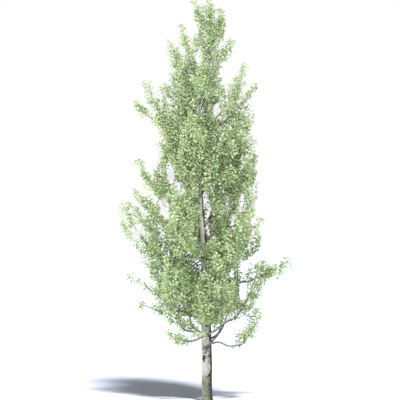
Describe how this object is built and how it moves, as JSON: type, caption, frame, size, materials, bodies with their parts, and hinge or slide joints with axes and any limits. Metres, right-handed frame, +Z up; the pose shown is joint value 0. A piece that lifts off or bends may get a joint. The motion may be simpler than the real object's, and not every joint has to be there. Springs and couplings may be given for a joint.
{
  "type": "poplar tree",
  "caption": "Upright young poplar in leaf: pale scarred trunk, bare low boughs and a narrow open crown of rising leafy shoots.",
  "frame": {"origin": "centre of the flat cut under the trunk, at ground level", "axes": "+Z straight up along the tree's height; +X to the right and -Y towards the viewer when the tree is seen from its front"},
  "size_m": [6.0176, 3.6832, 14],
  "materials": {
    "trunk_bark": "pale grey-white bark, smooth with dark lenticels and diamond scars, rougher and olive-grey towards the ground",
    "branch_bark": "smooth grey bark, darker on thin boughs",
    "foliage": "small fresh green leaves with a soft sheen, some blue-green and some yellow-green"
  },
  "bodies": {
    "root": {"back_high_left": "foliage", "back_high_right": "foliage", "back_left": "foliage", "back_left_bough": "branch_bark", "back_low_left": "foliage", "back_low_right": "foliage", "back_right": "foliage", "back_right_bough": "branch_bark", "back_top": "foliage", "far_right": "foliage", "fork_right_bough": "branch_bark", "front_high": "foliage", "front_high_right": "foliage", "front_left": "foliage", "front_left_bough": "branch_bark", "front_low": "foliage", "front_low_left": "foliage", "front_right": "foliage", "front_top": "foliage", "inner_riser_bough": "branch_bark", "left_crest": "foliage", "left_fork": "foliage", "left_high": "foliage", "left_horn": "foliage", "left_level": "foliage", "left_level_bough": "branch_bark", "left_low": "foliage", "left_peak": "foliage", "left_plume": "foliage", "left_riser_bough": "branch_bark", "left_shoulder": "foliage", "left_spread": "foliage", "left_upper": "foliage", "left_waist": "foliage", "level_right_bough": "branch_bark", "long_right_bough": "branch_bark", "low_left": "foliage", "low_right": "foliage", "low_right_bough": "branch_bark", "right_column": "foliage", "right_middle": "foliage", "right_peak": "foliage", "right_riser_bough": "branch_bark", "right_shoulder": "foliage", "right_strut_bough": "branch_bark", "right_thin_peak": "foliage", "right_upper": "foliage", "right_waist": "foliage", "slender_right": "foliage", "spire": "foliage", "spire_left": "foliage", "spire_right": "foliage", "spire_tuft": "foliage", "trunk": "trunk_bark"}
  },
  "joints": []
}
